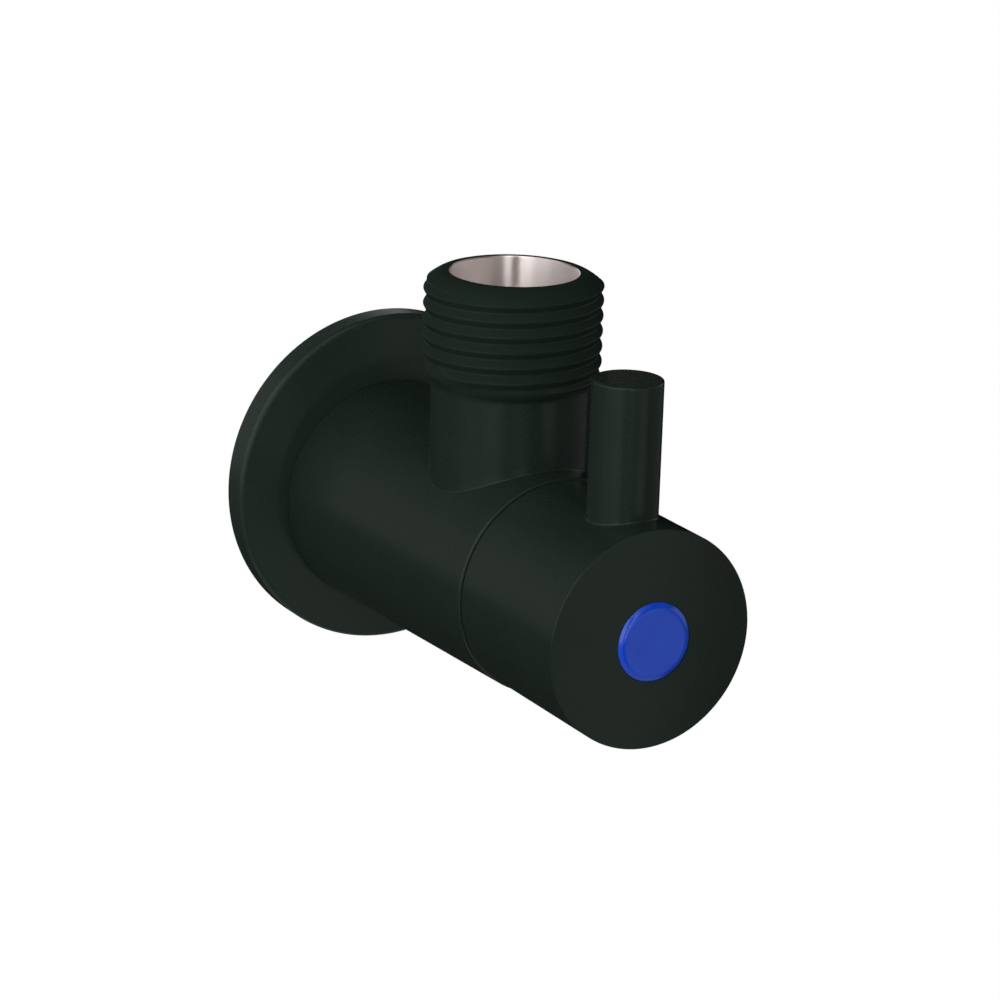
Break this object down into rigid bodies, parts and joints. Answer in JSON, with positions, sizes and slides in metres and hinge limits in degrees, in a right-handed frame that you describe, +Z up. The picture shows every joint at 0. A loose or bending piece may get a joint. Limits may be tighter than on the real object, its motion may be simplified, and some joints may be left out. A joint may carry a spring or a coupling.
{
  "type": "angle shut-off valve",
  "caption": "Wall-mounted angle shut-off valve: wall rosette, tapered barrel, threaded upright outlet and a round quarter-turn handle with a pin lever.",
  "frame": {"origin": "on the valve axis in the plane of the wall, at the root of the inlet spigot", "axes": "+Y along the inlet spigot into the wall, so the valve stands out towards -Y; +Z up along the outlet; +X to the right seen from the front"},
  "size_m": [0.0416, 0.0798, 0.0541],
  "materials": {
    "black_coat": "matte black coating on brass, bare machined metal in the bores",
    "turned_brass": "turned, bare",
    "steel": "bare stainless",
    "ceramic": "lapped alumina",
    "seal_rubber": "moulded",
    "white_plastic": "moulded",
    "fibre": "pressed fibre",
    "blue_cap": "moulded, satin gloss"
  },
  "bodies": {
    "body": {"valve_body": "black_coat", "strainer_frame": "white_plastic", "strainer_mesh": "steel", "seat_seal": "seal_rubber", "fixed_disc": "ceramic", "cartridge_housing": "turned_brass", "housing_gasket": "fibre", "thrust_washer": "white_plastic"},
    "rosette": {"wall_rosette": "black_coat"},
    "disc": {"moving_disc": "ceramic"},
    "handle": {"handle_shell": "black_coat", "lever_pin": "black_coat", "lever_stud": "steel", "handle_screw": "steel", "screw_washer": "steel", "index_cap": "blue_cap", "spline_insert": "white_plastic", "spindle": "turned_brass", "inner_spindle_ring": "seal_rubber", "outer_spindle_ring": "seal_rubber", "spindle_clip": "steel"}
  },
  "joints": [
    {"name": "handle_turn", "type": "hinge", "parent": "body", "child": "handle", "pos_m": [0, 0, 0], "axis": [0, 1, 0], "range_deg": [0, 90]},
    {"name": "disc_turn", "type": "hinge", "parent": "body", "child": "disc", "pos_m": [0, 0, 0], "axis": [0, 1, 0], "range_deg": [0, 90]},
    {"name": "rosette_slide", "type": "slide", "parent": "body", "child": "rosette", "axis": [0, 1, 0], "range_m": [0, 0.012]}
  ],
  "couplings": [
    {"joint": "disc_turn", "follows": "handle_turn", "ratio": 1}
  ]
}
